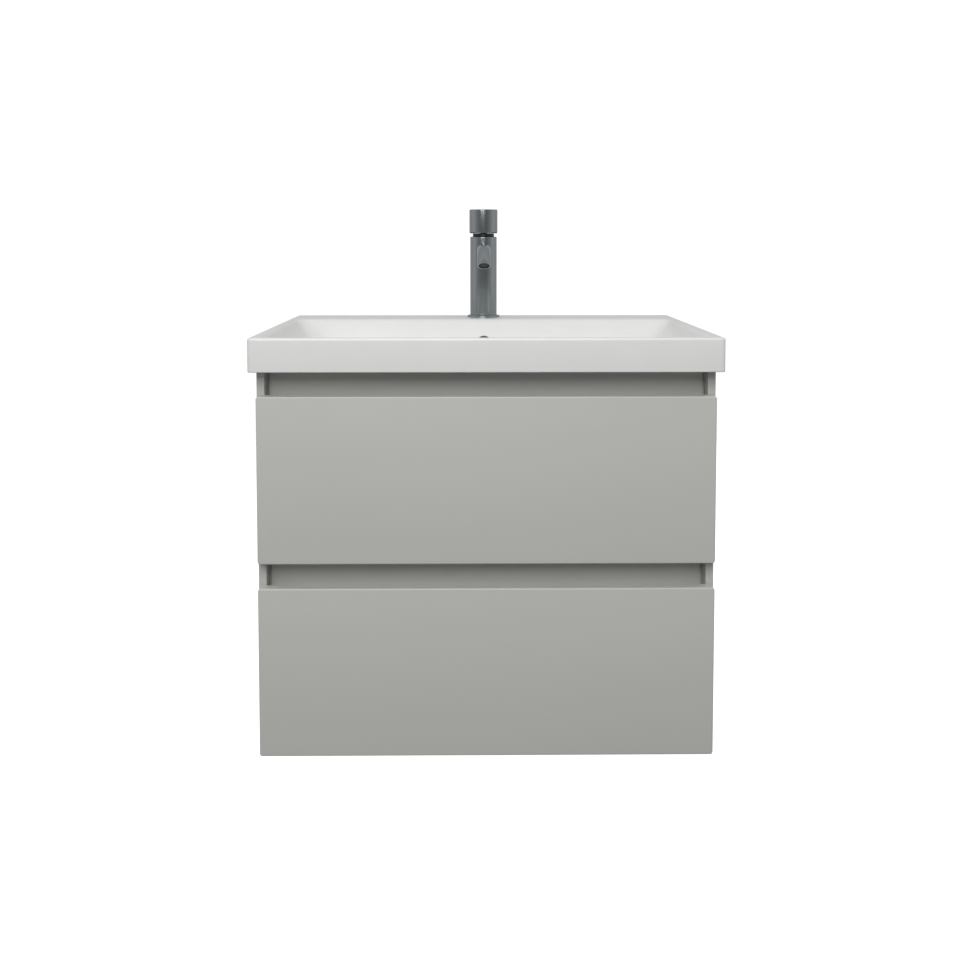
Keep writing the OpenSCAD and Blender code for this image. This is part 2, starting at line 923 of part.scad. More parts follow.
// The spout's tube, or its bore when made with the bore's radius
module spout_form(r) {
    rod_y(0, spout_z, r, [bend_start_y, spout_root_y]);
    translate([0, bend_start_y, spout_z - spout_bend_r])
        rotate([0, -90, 180])
            rotate_extrude(angle = spout_bend)
                translate([spout_bend_r, 0])
                    circle(r = r);
}

// Children stand at the spout's outlet, +Z pointing back up the spout
module at_outlet() {
    translate([0, bend_start_y, spout_z - spout_bend_r])
        rotate([spout_bend, 0, 0])
            translate([0, 0, spout_bend_r])
                rotate([-90, 0, 0])
                    children();
}

module tap_spout() {
    color("#5a5e5e")
        difference() {
            spout_form(spout_r);
            spout_form(spout_bore_r);
        }
}

module spout_aerator() {
    color("#202020")
        at_outlet()
            translate([0, 0, aerator_recess])
                cylinder(r = spout_bore_r - aerator_clear, h = aerator_len);
}

module tap_base_ring() {
    color("#5a5e5e")
        translate([0, tap_y, rim_z])
            rotate_extrude()
                polygon([[tap_r + fit_gap / 2, 0], [base_ring_r, 0], [base_ring_r, base_ring_edge],
                    [base_ring_r - edge_chamfer, base_ring_h],
                    [tap_r + fit_gap / 2, base_ring_h]]);
}

module tap_cartridge() {
    color("gray")
        ring_z(tap_y, neck_r - cartridge_clear, stem_r + running_gap,
            [chamber_floor_z, body_top_z - nut_thread_h]);
}

module cartridge_nut() {
    color("#303234")
        ring_z(tap_y, neck_r, stem_r + chamber_clear, [body_top_z - nut_thread_h, body_top_z + neck_h]);
}

module cartridge_stem() {
    color("silver")
        translate([0, tap_y, stem_foot_z])
            cylinder(r = stem_r, h = knob_top_z - stem_top_gap - stem_foot_z);
}

module tap_knob() {
    color("#5a5e5e")
        difference() {
            translate([0, tap_y, knob_z])
                rotate_extrude()
                    polygon([[0, 0], [knob_r - knob_foot_chamfer, 0],
                        [knob_r, knob_foot_chamfer], [knob_r, knob_h - knob_top_chamfer],
                        [knob_r - knob_top_chamfer, knob_h], [0, knob_h]]);
            translate([0, tap_y, knob_z - cut])
                cylinder(r = stem_r, h = knob_h - stem_top_gap + cut);
        }
}

// A half-moon plate under the deck, behind the hoses
module clamp_plate(top) {
    difference() {
        translate([0, tap_y, top - clamp_t])
            cylinder(r = clamp_r, h = clamp_t);
        span([-clamp_r - cut, clamp_r + cut], [tap_y - clamp_r - cut, tap_y + stud_r],
            [top - clamp_t - cut, top + cut]);
        translate([0, tap_y + stud_y, top - clamp_t - cut])
            cylinder(r = stud_r + fit_gap, h = clamp_t + 2 * cut);
    }
}

module tap_gasket() {
    color("#303030")
        clamp_plate(deck_bottom_z);
}

module tap_washer() {
    color("silver")
        clamp_plate(deck_bottom_z - clamp_t);
}

module tap_stud() {
    color("silver")
        translate([0, tap_y + stud_y, deck_bottom_z - stud_below])
            cylinder(r = stud_r, h = stud_below + deck_t + inlet_len);
}

module tap_stud_nut() {
    color("silver")
        translate([0, tap_y + stud_y, deck_bottom_z - 2 * clamp_t - stud_nut_t])
            difference() {
                cylinder(r = stud_nut_r, h = stud_nut_t, $fn = 6);
                translate([0, 0, -cut])
                    cylinder(r = stud_r + fit_gap, h = stud_nut_t + 2 * cut);
            }
}

// ---- Runners ----

module fixed_rails(base) {
    color("silver")
        both_sides()
            difference() {
                along_runner(runner_ys, base) {
                    span2([0, rail_t], [0, fixed_flange_h]);
                    span2([0, fixed_rail_w], [0, rail_t]);
                    span2([fixed_rail_w - rail_t, fixed_rail_w], [0, fixed_lip_h]);
                }
                on_side_board(runner_screw_sites(base))
                    cross_pin(runner_screw_r, cut, rail_t + cut);
            }
}

// Carries an outline along Y; its x is measured in from the side board, its y up from the base
module along_runner(y, base) {
    translate([inner_half, y[1], base])
        rotate([90, 0, 0])
            linear_extrude(y[1] - y[0])
                mirror([1, 0])
                    children();
}

module middle_rails(base) {
    x = middle_rail_xs;
    z = middle_rail_zs;
    color("gainsboro")
        both_sides()
            along_runner([runner_ys[0], runner_ys[1] - middle_rail_short], base) {
                span2(x, [z[0], z[0] + rail_t]);
                span2([x[0], x[0] + rail_t], z);
                span2([x[1] - rail_t, x[1]], z);
            }
}

module drawer_rails(base) {
    x = drawer_rail_xs;
    z = drawer_rail_zs;
    color("silver")
        both_sides()
            along_runner([runner_ys[0], box_back_y], base) {
                span2(x, [z[1] - rail_t, z[1]]);
                span2([x[0], x[0] + rail_t], z);
                span2([x[1] - rail_t, x[1]], z);
            }
}

module upper_fixed_rails() {
    fixed_rails(runner_upper_z);
}

module lower_fixed_rails() {
    fixed_rails(runner_lower_z);
}

module upper_middle_rails() {
    middle_rails(runner_upper_z);
}

module lower_middle_rails() {
    middle_rails(runner_lower_z);
}

module upper_drawer_rails() {
    drawer_rails(runner_upper_z);
}

module lower_drawer_rails() {
    drawer_rails(runner_lower_z);
}

module runner_screws() {
    color("gray")
        both_sides()
            for (base = [runner_upper_z, runner_lower_z])
                on_side_board(runner_screw_sites(base)) {
                    cross_pin(runner_screw_r, runner_screw_len, rail_t);
                    translate([-2 * rail_t, 0, 0])
                        cross_pin(runner_head_r, rail_t, 0);
                }
}

// ---- Drawers ----

// A front board with round corners and the finger bevel behind its top edge
module drawer_front(z) {
    bevel = [[front_back_y - bevel_in, z[1] + cut], [front_back_y - bevel_in, z[1]],
        [front_back_y, z[1] - bevel_h], [front_back_y + cut, z[1] - bevel_h],
        [front_back_y + cut, z[1] + cut]];
    color("#a8a8a4")
        difference() {
            translate([0, front_back_y, 0])
                rotate([90, 0, 0])
                    linear_extrude(front_t)
                        rounded_rect([-front_half, front_half], z, front_corner_r);
            along_x([-front_half + bevel_end, front_half - bevel_end])
                polygon(bevel);
        }
}

module drawer_side(base, h) {
    color("#c9c8c4")
        span([side_in, side_out], box_ys, [base + side_lift, base + side_lift + h]);
}

// Angles that fix the box to the front, and the bumpers on the back of the front
module drawer_fittings(floor_z, z) {
    angle_foot = floor_z + drawer_board_t + angle_lift;
    angle_z = [angle_foot, angle_foot + angle_h];
    color("gainsboro")
        both_sides() {
            span([side_in - angle_t, side_in], [front_back_y, front_back_y + angle_leg], angle_z);
            span([side_in - angle_leg, side_in], [front_back_y, front_back_y + angle_t], angle_z);
            for (bz = [z[0] + bumper_inset, z[1] - bumper_inset])
                rod_y((inner_half + half_w) / 2, bz, bumper_r,
                    [front_back_y, front_back_y + bumper_t]);
        }
}

module upper_front() {
    drawer_front([upper_bottom, upper_top]);
}

module lower_front() {
    drawer_front([carcass_bottom, lower_top]);
}

module upper_side_left() {
    mirror([1, 0, 0])
        drawer_side(runner_upper_z, upper_side_h);
}

module upper_side_right() {
    drawer_side(runner_upper_z, upper_side_h);
}

module lower_side_left() {
    mirror([1, 0, 0])
        drawer_side(runner_lower_z, lower_side_h);
}

module lower_side_right() {
    drawer_side(runner_lower_z, lower_side_h);
}

module upper_bottom() {
    color("#c9c8c4")
        difference() {
            span([-side_in, side_in], box_ys, [upper_floor_z, upper_floor_z + drawer_board_t]);
            span([-cutout_half, cutout_half], [cutout_front_y, box_back_y + cut],
                [upper_floor_z - cut, upper_floor_z + drawer_board_t + cut]);
        }
}

module upper_cutout_frame() {
    wall_z = [upper_floor_z + drawer_board_t, upper_box_top];
    outer = cutout_half + drawer_board_t;
    color("#c9c8c4")
        difference() {
            span([-outer, outer], [cutout_front_y - drawer_board_t, box_back_y], wall_z);
            span([-cutout_half, cutout_half], [cutout_front_y, box_back_y + cut],
                [wall_z[0] - cut, wall_z[1] + cut]);
        }
}

module upper_back() {
    color("#c9c8c4")
        both_sides()
            span([cutout_half + drawer_board_t, side_in], [box_back_y - drawer_board_t, box_back_y],
                [upper_floor_z + drawer_board_t, upper_box_top]);
}

module upper_fittings() {
    drawer_fittings(upper_floor_z, [upper_bottom, upper_top]);
}

module lower_bottom() {
    color("#c9c8c4")
        span([-side_in, side_in], box_ys, [lower_floor_z, lower_floor_z + drawer_board_t]);
}

module lower_back() {
    color("#c9c8c4")
        span([-side_in, side_in], [box_back_y - drawer_board_t, box_back_y],
            [lower_floor_z + drawer_board_t, lower_box_top]);
}

module lower_fittings() {
    drawer_fittings(lower_floor_z, [carcass_bottom, lower_top]);
}

side_left();
side_right();
bottom_panel();
rear_rail_upper();
rear_rail_lower();
grip_channel_upper();
grip_channel_middle();
channel_brackets();
carcass_dowels();
cam_bolts();
cam_housings();
hanger_left();
hanger_right();
hanger_screws();
wall_plates();
basin();
waste_body();
waste_plug();
waste_seal();
waste_backnut();
trap_inlet_nut();
trap_body();
trap_cup();
trap_outlet_nut();
trap_outlet_pipe();
trap_seals();
wall_escutcheon();
tap_body();
tap_spout();
spout_aerator();
tap_base_ring();
tap_cartridge();
cartridge_nut();
cartridge_stem();
tap_knob();
tap_gasket();
tap_washer();
tap_stud();
tap_stud_nut();
upper_fixed_rails();
upper_middle_rails();
upper_drawer_rails();
lower_fixed_rails();
lower_middle_rails();
lower_drawer_rails();
runner_screws();
upper_front();
upper_side_left();
upper_side_right();
upper_back();
upper_bottom();
upper_cutout_frame();
upper_fittings();
lower_front();
lower_side_left();
lower_side_right();
lower_back();
lower_bottom();
lower_fittings();
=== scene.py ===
# %% [markdown]
# # A wall-hung bathroom vanity
# Two drawers with grip channels instead of handles, a one-piece ceramic basin, a mixer tap in a dark
# plated finish, and the waste and bottle trap underneath. The measured model is loaded first and is
# never moved. The pieces that the eye rests on are then made again as smooth surfaces in its place,
# and every other piece keeps its shape and is given the finish of the real material.

import math

import bmesh
import bpy
import numpy as np
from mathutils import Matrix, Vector


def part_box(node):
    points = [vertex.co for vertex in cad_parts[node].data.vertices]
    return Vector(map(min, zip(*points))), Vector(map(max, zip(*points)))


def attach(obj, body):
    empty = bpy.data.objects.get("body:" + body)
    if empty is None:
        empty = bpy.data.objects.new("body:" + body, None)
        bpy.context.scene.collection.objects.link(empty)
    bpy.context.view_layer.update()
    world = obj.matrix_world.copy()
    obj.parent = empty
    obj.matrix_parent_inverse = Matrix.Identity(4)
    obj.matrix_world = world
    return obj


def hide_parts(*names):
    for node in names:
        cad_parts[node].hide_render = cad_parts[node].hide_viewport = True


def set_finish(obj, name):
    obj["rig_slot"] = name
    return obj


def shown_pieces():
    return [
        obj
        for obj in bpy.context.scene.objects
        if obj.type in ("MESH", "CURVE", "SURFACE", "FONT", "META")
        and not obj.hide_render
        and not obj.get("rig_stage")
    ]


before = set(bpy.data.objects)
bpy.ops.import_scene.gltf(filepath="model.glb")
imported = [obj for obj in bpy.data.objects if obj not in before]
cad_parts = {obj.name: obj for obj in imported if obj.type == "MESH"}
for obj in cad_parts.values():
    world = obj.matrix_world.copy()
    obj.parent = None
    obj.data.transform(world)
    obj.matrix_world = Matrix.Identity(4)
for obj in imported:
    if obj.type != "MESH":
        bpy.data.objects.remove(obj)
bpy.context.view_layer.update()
MM = 0.001


# %% [markdown]
# ## The camera
# The cabinet is seen almost square on, from a little above the basin's rim and a little to the left.
# A real product photograph keeps the cabinet's sides upright by shifting the lens instead of tilting
# the camera, so the camera here does part of each.

# %% Camera
def place_camera(location_mm, yaw, pitch, lens, shift):
    """Looks along +Y from a point in millimetres, turned right by yaw and down by pitch in degrees."""
    data = bpy.data.cameras.new("camera")
    data.lens, data.shift_y = lens, shift
    data.clip_start, data.clip_end = 0.05, 50
    camera = bpy.data.objects.new("camera", data)
    camera.location = [v * MM for v in location_mm]
    camera.rotation_euler = (math.radians(90 - pitch), 0, math.radians(-yaw))
    bpy.context.scene.collection.objects.link(camera)
    bpy.context.scene.camera = camera


place_camera((-20.1, -2069.4, 260.5), yaw=0.64, pitch=3.95, lens=46.61, shift=-0.165)
bpy.context.scene.view_settings.view_transform = "Standard"
print("the camera stands", -round(bpy.context.scene.camera.location.y, 2), "m in front of the wall")


# %% [markdown]
# ## Making shapes from grids of points
# Each new piece is a grid of points worked out as whole arrays, with one parameter running round the
# piece and the other along it. One function joins neighbouring points with four-sided faces, and the
# ends are closed with a fan. A turned piece, such as a tap's body, is a profile carried round an axis.

# %% Join a grid into a mesh
def join_grid(points, loop=False, ends=(False, False)):
    """Corner points and faces of a grid whose rows close on themselves.

    Face (i, j) joins points (i, j), (i, j+1), (i+1, j+1) and (i+1, j), where j wraps round. With
    loop, i wraps too. An end that is closed gets a fan from the mean of its row.
    """
    rows, cols = points.shape[:2]
    i = np.arange(rows if loop else rows - 1)[:, None]
    j = np.arange(cols)[None, :]
    nxt_i, nxt_j = (i + 1) % rows, (j + 1) % cols
    quads = np.stack(np.broadcast_arrays(
        i * cols + j, i * cols + nxt_j, nxt_i * cols + nxt_j, nxt_i * cols + j), -1).reshape(-1, 4)
    verts = points.reshape(-1, 3)
    faces = quads.tolist()
    ring = np.arange(cols)
    for closed, row, order in ((ends[0], 0, 1), (ends[1], rows - 1, -1)):
        if closed:
            centre = len(verts)
            verts = np.vstack([verts, points[row].mean(0)])
            pair = np.stack([np.roll(ring, -1), ring][::order], -1) + row * cols
            faces += np.column_stack([np.full(cols, centre), pair]).tolist()
    return verts, faces


# %% Put meshes into the scene
def face_outwards(mesh):
    """Merges points that coincide, drops faces without an area and turns the rest outwards."""
    work = bmesh.new()
    work.from_mesh(mesh)
    bmesh.ops.remove_doubles(work, verts=work.verts, dist=1e-6)
    bmesh.ops.dissolve_degenerate(work, edges=work.edges, dist=1e-7)
    bmesh.ops.recalc_face_normals(work, faces=work.faces)
    work.to_mesh(mesh)
    work.free()


def make_piece(name, parts, body, replaced, slot, sharp=35):
    """One object from (points, faces) parts in metres, merged, with its faces turned outwards."""
    mesh = bpy.data.meshes.new(name)
    starts = np.cumsum([0] + [len(v) for v, _ in parts[:-1]])
    mesh.from_pydata(np.vstack([v for v, _ in parts]).tolist(), [],
                     [[k + int(s) for k in f] for (_, fs), s in zip(parts, starts) for f in fs])
    face_outwards(mesh)
    mesh.shade_smooth()
    mesh.set_sharp_from_angle(angle=math.radians(sharp))
    piece = bpy.data.objects.new(name, mesh)
    bpy.context.scene.collection.objects.link(piece)
    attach(piece, body)
    if replaced:
        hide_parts(*replaced)
    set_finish(piece, slot)
    print(f"{name}: {len(mesh.polygons)} faces, {np.round(np.array(piece.dimensions) / MM, 1)} mm")
    return piece


# %% Round the corners of an outline
def soften(corners, reach, steps=6):
    """Swaps each corner P for the curve (1-t)^2 A + 2t(1-t) P + t^2 B.

    A and B lie a reach before and after P on the outline, so the curve leaves along both edges. The
    corners may be one outline (K, 2) or many (..., K, 2), and reach is one number for each corner.
    """
    p = np.asarray(corners, float)
    to_last, to_next = np.roll(p, 1, -2) - p, np.roll(p, -1, -2) - p
    reach = np.broadcast_to(np.asarray(reach, float)[..., None], p.shape[:-1] + (1,))
    share = [reach / np.maximum(np.linalg.norm(d, axis=-1, keepdims=True), 1e-9)
             for d in (to_last, to_next)]
    a, b = p + to_last * share[0], p + to_next * share[1]
    t = np.linspace(0, 1, steps)[:, None]
    curve = ((1 - t) ** 2 * a[..., None, :] + 2 * t * (1 - t) * p[..., None, :]
             + t ** 2 * b[..., None, :])
    return curve.reshape(*p.shape[:-2], -1, p.shape[-1])


# %% Turn a profile round an axis
def turn(profile, centre, axis="z", around=96, ripple=None, hollow=False):
    """Carries (radius, height) points round an axis: (r cos a, r sin a, h), or (r cos a, h, r sin a).

    ripple(angle, radius) gives a new radius, for ribs and grips. A hollow piece's profile closes on
    itself instead of starting and ending on the axis. All sizes are millimetres.
    """
    r, h = np.asarray(profile, float).T
    angle = np.linspace(0, 2 * math.pi, around, endpoint=False)[None, :]
    radius, height = np.broadcast_arrays(r[:, None], h[:, None] + 0 * angle)
    if ripple is not None:
        radius = ripple(angle, radius)
    flat = [radius * np.cos(angle), radius * np.sin(angle)]
    xyz = [*flat, height] if axis == "z" else [flat[0], height, flat[1]]
    return join_grid((np.stack(xyz, -1) + np.asarray(centre, float)) * MM, loop=hollow)


def corner_box(node):
    """Lowest and highest corners of a node, in millimetres."""
    lo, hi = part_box(node)
    return np.array(lo) / MM, np.array(hi) / MM


print("the drain is", np.round(sum(corner_box("waste_plug")) / 2, 1)[:2], "mm from the wall's centre")


# %% [markdown]
# ## The basin
# A vanity basin is cast from clay slip in a plaster mould, then glazed and fired. The mould gives every
# edge a soft radius, and the glaze pulls back a little from the edges. The whole basin is therefore one
# closed surface: a ring that starts at the drain's underside, runs out under the bowl to the apron, up
# and over the rim, and down the bowl back to the drain. Each ring is a rectangle with round corners,
# or a circle near the drain, and soft edges come from blending three neighbouring rings.

# %% Rings of the basin
def round_rectangle(half, front, back, radius, z, per_corner=10, per_side=14):
    """One closed ring seen from above: four quarter circles joined by straight runs, at height z."""
    quarter = np.linspace(0, math.pi / 2, per_corner)
    run = np.linspace(0, 1, per_side + 2)[1:-1, None]
    arcs = []
    for k, (sx, end) in enumerate(((1, back - radius), (-1, back - radius),
                                   (-1, front + radius), (1, front + radius))):
        a = quarter + k * math.pi / 2
        arcs.append(np.stack([sx * (half - radius) + radius * np.cos(a),
                              end + radius * np.sin(a)], -1))
    pieces = []
    for k in range(4):
        start, stop = arcs[k][-1], arcs[(k + 1) % 4][0]
        pieces += [arcs[k], start + (stop - start) * run]
    xy = np.vstack(pieces)
    return np.column_stack([xy, np.full(len(xy), z)])


def circle_like(ring, centre_y, radius, z):
    """A circle whose points lie at the angles of another ring's points, as seen from its centre."""
    angle = np.arctan2(ring[:, 1] - centre_y, ring[:, 0])
    return np.column_stack([radius * np.cos(angle), centre_y + radius * np.sin(angle),
                            np.full(len(ring), z)])


def carry_rings(rings, steps=7):
    """Stacks rings into a grid. A ring marked soft becomes a curve that its neighbours pull on.

    With A, P, B the rings before, at and after it, the curve is (1-t)^2 A + 2t(1-t) P + t^2 B.
    """
    t = np.linspace(0, 1, steps)[1:-1, None, None]
    rows = []
    for k, (ring, soft) in enumerate(rings):
        if soft:
            a, b = rings[k - 1][0], rings[(k + 1) % len(rings)][0]
            rows.extend((1 - t) ** 2 * a + 2 * t * (1 - t) * ring + t ** 2 * b)
        else:
            rows.append(ring)
    return np.array(rows)


# %% The basin's surface
# A ring of the bowl is its half width, front, back, corner radius and height. The front, at DEPTH, is
# the lowest Y, and the wall is at Y = 0.
BASIN_LO, BASIN_HI = corner_box("basin")
RIM_Z = BASIN_HI[2]
APRON_BOTTOM = corner_box("side_left")[1][2]
HALF_W, DEPTH = BASIN_HI[0], BASIN_LO[1]
RIM_W, DECK_D, BOWL_DROP = 14, 105, 95
DRAIN_Y = float(sum(c[1] for c in corner_box("waste_body")) / 2)
BOSS_Z = corner_box("waste_seal")[1][2]
DRAIN_R, FLANGE_R, BOSS_R = 23.0, 33.0, 36.0
BOWL_TOP = np.array([HALF_W - RIM_W, DEPTH + RIM_W, -DECK_D, 24, RIM_Z])
BOWL_FLOOR = np.array([HALF_W - 83, DEPTH + 170, -150, 45, RIM_Z - BOWL_DROP])


def bowl_ring(depth_share, grow=0.0, raise_by=0.0):
    """A ring on the bowl's wall, at a share of the way down it, grown outwards by a wall."""
    half, front, back, radius, z = BOWL_TOP + depth_share * (BOWL_FLOOR - BOWL_TOP)
    return round_rectangle(half + grow, front - grow, back + grow, radius + grow, z + raise_by)


def outer_ring(inset, z, radius=6.0):
    """A ring of the apron, set in from its outer face."""
    return round_rectangle(HALF_W - inset, DEPTH + inset, -inset, max(radius - inset, 1.5), z)


def tuck_sides(ring, start=200.0, stop=260.0, drop=18.0):
    """Lowers a ring's ends below the bowl's side walls.

    It goes down by drop (3t^2 - 2t^3), where t runs from 0 at |x| = start to 1 at |x| = stop.
    """
    t = np.clip((np.abs(ring[:, 0]) - start) / (stop - start), 0, 1)
    return ring - np.outer(drop * t ** 2 * (3 - 2 * t), (0, 0, 1))


floor_z = BOWL_FLOOR[4]
floor_ring = round_rectangle(150, DRAIN_Y - 62, DRAIN_Y + 30, 24, floor_z + 1.5)
wall, under_deck = 9.0, RIM_Z - 12
below = [(circle_like(floor_ring, DRAIN_Y, r, z), soft) for r, z, soft in (
    (DRAIN_R, BOSS_Z, False), (BOSS_R - 2, BOSS_Z, False), (BOSS_R, BOSS_Z, True),
    (BOSS_R, BOSS_Z + 2, False), (BOSS_R, floor_z - wall - 8, False), (BOSS_R, floor_z - wall, True),
    (BOSS_R + 8, floor_z - wall, False))]
underside = below + [
    (bowl_ring(1.25, wall, -wall + 23.75), False), (bowl_ring(1.0, wall, -wall), True),
    (bowl_ring(0.82, wall, -wall), False),
    (round_rectangle(HALF_W - 32, DEPTH + 62, -112, 30, APRON_BOTTOM + 6), False),
    (tuck_sides(round_rectangle(HALF_W - 30.5, DEPTH + 24, -24, 20, under_deck)), True),
    (tuck_sides(round_rectangle(HALF_W - 30, DEPTH + 22, -22, 12, under_deck - 8)), False)]
outside = [
    (outer_ring(24, APRON_BOTTOM + 1.5, 30), False), (outer_ring(22, APRON_BOTTOM, 28), True),
    (outer_ring(20, APRON_BOTTOM, 26), False), (outer_ring(1.5, APRON_BOTTOM), False),
    (outer_ring(0, APRON_BOTTOM), True), (outer_ring(0, APRON_BOTTOM + 1.5), False),
    (outer_ring(0, RIM_Z - 3.5), False), (outer_ring(0, RIM_Z), True),
    (outer_ring(3.5, RIM_Z), False)]
inside = [
    (bowl_ring(0, 4.5), False), (bowl_ring(0), True), (bowl_ring(0.05), False),
    (bowl_ring(0.3), False), (bowl_ring(0.62), False), (bowl_ring(1.0), True),
    (round_rectangle(186, DRAIN_Y - 84, DRAIN_Y + 44, 36, floor_z + 2), False),
    (floor_ring, False)]
drain = [(circle_like(floor_ring, DRAIN_Y, r, z), soft) for r, z, soft in (
    (FLANGE_R + 6, floor_z + 0.2, False), (FLANGE_R, floor_z, True), (FLANGE_R, floor_z - 1, False),
    (FLANGE_R, floor_z - 2, False), (DRAIN_R, floor_z - 2, False))]
basin_grid = carry_rings(underside + outside + inside + drain)
basin = make_piece("basin_casting", [join_grid(basin_grid * MM, loop=True)], "root", ["basin"],
                   "glazed_ceramic", sharp=50)


# %% [markdown]
# The overflow is a round hole punched through the back of the bowl while the clay is still soft, so
# its edge is slightly rounded. A disc-shaped cutter with a flared mouth is taken away from the casting.

# %% Punch the overflow
def cut_from(piece, cutter):
    """Takes the cutter away from the piece's mesh for good, and deletes the cutter."""
    cutting = piece.modifiers.new("cut", "BOOLEAN")
    cutting.object, cutting.solver = cutter, "EXACT"
    graph = bpy.context.evaluated_depsgraph_get()
    old, name = piece.data, piece.data.name
    piece.data = bpy.data.meshes.new_from_object(piece.evaluated_get(graph))
    piece.modifiers.clear()
    bpy.data.meshes.remove(old)
    piece.data.name = name
    bpy.data.objects.remove(cutter)


def make_cutter(parts):
    """An object for cut_from, with its faces turned outwards."""
    mesh = bpy.data.meshes.new("cutter")
    verts, faces = parts
    mesh.from_pydata(verts.tolist(), [], faces)
    face_outwards(mesh)
    cutter = bpy.data.objects.new("cutter", mesh)
    bpy.context.scene.collection.objects.link(cutter)
    return cutter


OVERFLOW_R, OVERFLOW_Z = 11.0, RIM_Z - 36
wall_y = BOWL_TOP[2] + (BOWL_FLOOR[2] - BOWL_TOP[2]) * (RIM_Z - OVERFLOW_Z) / BOWL_DROP
ahead, behind = wall_y - 16, wall_y + 30
punch = [(0, ahead), (OVERFLOW_R + 4, ahead), (OVERFLOW_R + 1.2, wall_y - 3),
         (OVERFLOW_R, wall_y + 1), (OVERFLOW_R, behind), (0, behind)]
cut_from(basin, make_cutter(turn(punch, (0, 0, OVERFLOW_Z), axis="y", around=48)))
basin.data.shade_smooth()
basin.data.set_sharp_from_angle(angle=math.radians(40))
print("overflow punched, basin has", len(basin.data.polygons), "faces")


# %% [markdown]
# ## The drawer fronts
# Each front is a 20 mm board of medium-density fibre, milled all round to a small radius and sprayed
# with a matt lacquer. Behind the top edge a cutter has taken out a long bevel for the fingers, and it
# lifts out in a curve near both ends. The board is made as one closed outline in the Y-Z plane that is
# carried along X: the outline shrinks at the two ends for the round corners, and its bevel grows from
# nothing to full depth over the cutter's run-out.

# %% Drawer fronts
EDGE_R, CORNER_R = 2.0, 4.0
BEVEL_IN, BEVEL_H, RUN_START, RUN_END = 10.0, 24.0, 20.0, 42.0


def front_board(node):
    """Outlines (station, corner, [y, z]) along X.

    The ends: with s the distance from the end, the corner radius lowers the top by
    R - sqrt(R^2 - (R - s)^2), and the edge radius thins the board in the same way. The bevel's depth
    is a half wave of the cosine from the start of the run-out to its end.
    """
    lo, hi = corner_box(node)
    near = CORNER_R * (1 - np.cos(np.linspace(0, math.pi / 2, 10)))
    run = np.linspace(RUN_START, RUN_END, 14)
    half = np.concatenate([near, run, [RUN_END + 40, (hi[0] - lo[0]) / 2]])
    s = np.concatenate([half, (hi[0] - lo[0]) - half[-2::-1]])
    from_end = np.minimum(s, (hi[0] - lo[0]) - s)
    drop = CORNER_R - np.sqrt(np.maximum(CORNER_R**2 - np.maximum(CORNER_R - from_end, 0)**2, 0))
    thin = EDGE_R - np.sqrt(np.maximum(EDGE_R**2 - np.maximum(EDGE_R - from_end, 0)**2, 0))
    wave = (1 - np.cos(np.clip((from_end - RUN_START) / (RUN_END - RUN_START), 0, 1) * math.pi)) / 2
    y0, y1 = lo[1] + thin, hi[1] - thin
    z0, z1 = lo[2] + drop, hi[2] - drop
    bevel_y = y1 - np.maximum(BEVEL_IN * wave, 0.01)
    bevel_z = z1 - np.maximum(BEVEL_H * wave, 2.5)
    outline = np.stack([np.stack(pair, -1) for pair in
                        ((y0, z0), (y0, z1), (bevel_y, z1), (y1, bevel_z), (y1, z0))], 1)
    room = np.minimum(EDGE_R, 0.2 + 0.45 * from_end)[:, None]
    reach = room * np.array([1.0, 1.0, 0.6, 0.8, 1.0])
    section = soften(outline, reach)
    x = np.broadcast_to((lo[0] + s)[:, None, None], section.shape[:2] + (1,))
    return np.concatenate([x, section], -1)


for node, body in (("upper_front", "upper_drawer"), ("lower_front", "lower_drawer")):
    make_piece(node + "_lacquered", [join_grid(front_board(node) * MM, ends=(True, True))], body,
               [node], "lacquered_front", sharp=30)


# %% [markdown]
# ## The tap
# The body, knob and base ring are turned from brass bar, so each is a profile carried round an upright
# axis. The edges are broken with small chamfers, which catch the light as thin bright lines. The spout
# is drawn tube bent on a former: a circle carried along a straight run and then an arc.

# %% Turned pieces of the tap
TAP_Y = float(sum(c[1] for c in corner_box("tap_knob")) / 2)
SOCKET_R, SOCKET_DEPTH = 17.4, 7
tap_axis = (0, TAP_Y, 0)


def turned_profile(points, reach, steps=5):
    """A profile from axis to axis with its corners rounded, apart from the two on the axis."""
    return soften(points, np.array([0, *([reach] * (len(points) - 2)), 0]), steps)


def tap_body_profile(chamfer=1.2):
    """A plain cylinder with a chamfered top edge and a socket for the cartridge."""
    (_, _, z0), (r, _, z1) = corner_box("tap_body")
    return turned_profile([(0, z0), (r, z0), (r, z1 - chamfer), (r - chamfer, z1), (SOCKET_R, z1),
                           (SOCKET_R, z1 - SOCKET_DEPTH), (0, z1 - SOCKET_DEPTH)], 0.35)


def knob_profile(foot=1.4, top=0.9):
    """A cylinder with a chamfer round its foot and a smaller one round its top."""
    (_, _, z0), (r, _, z1) = corner_box("tap_knob")
    return turned_profile(
        [(0, z0), (r - foot, z0), (r, z0 + foot), (r, z1 - top), (r - top, z1), (0, z1)], 0.35)


def base_ring_profile():
    """A flat ring whose upper edge slopes inwards."""
    (_, _, z0), (r, _, z1) = corner_box("tap_base_ring")
    return turned_profile([(0, z0), (r, z0), (r, z0 + 1.6), (r - 1.4, z1), (0, z1)], 0.6)


def neck_profile():
    """A short plain cylinder with its upper edge broken."""
    (_, _, z0), (r, _, z1) = corner_box("cartridge_nut")
    return turned_profile([(0, z0), (r, z0), (r, z1 - 0.5), (r - 0.5, z1), (0, z1)], 0.2)


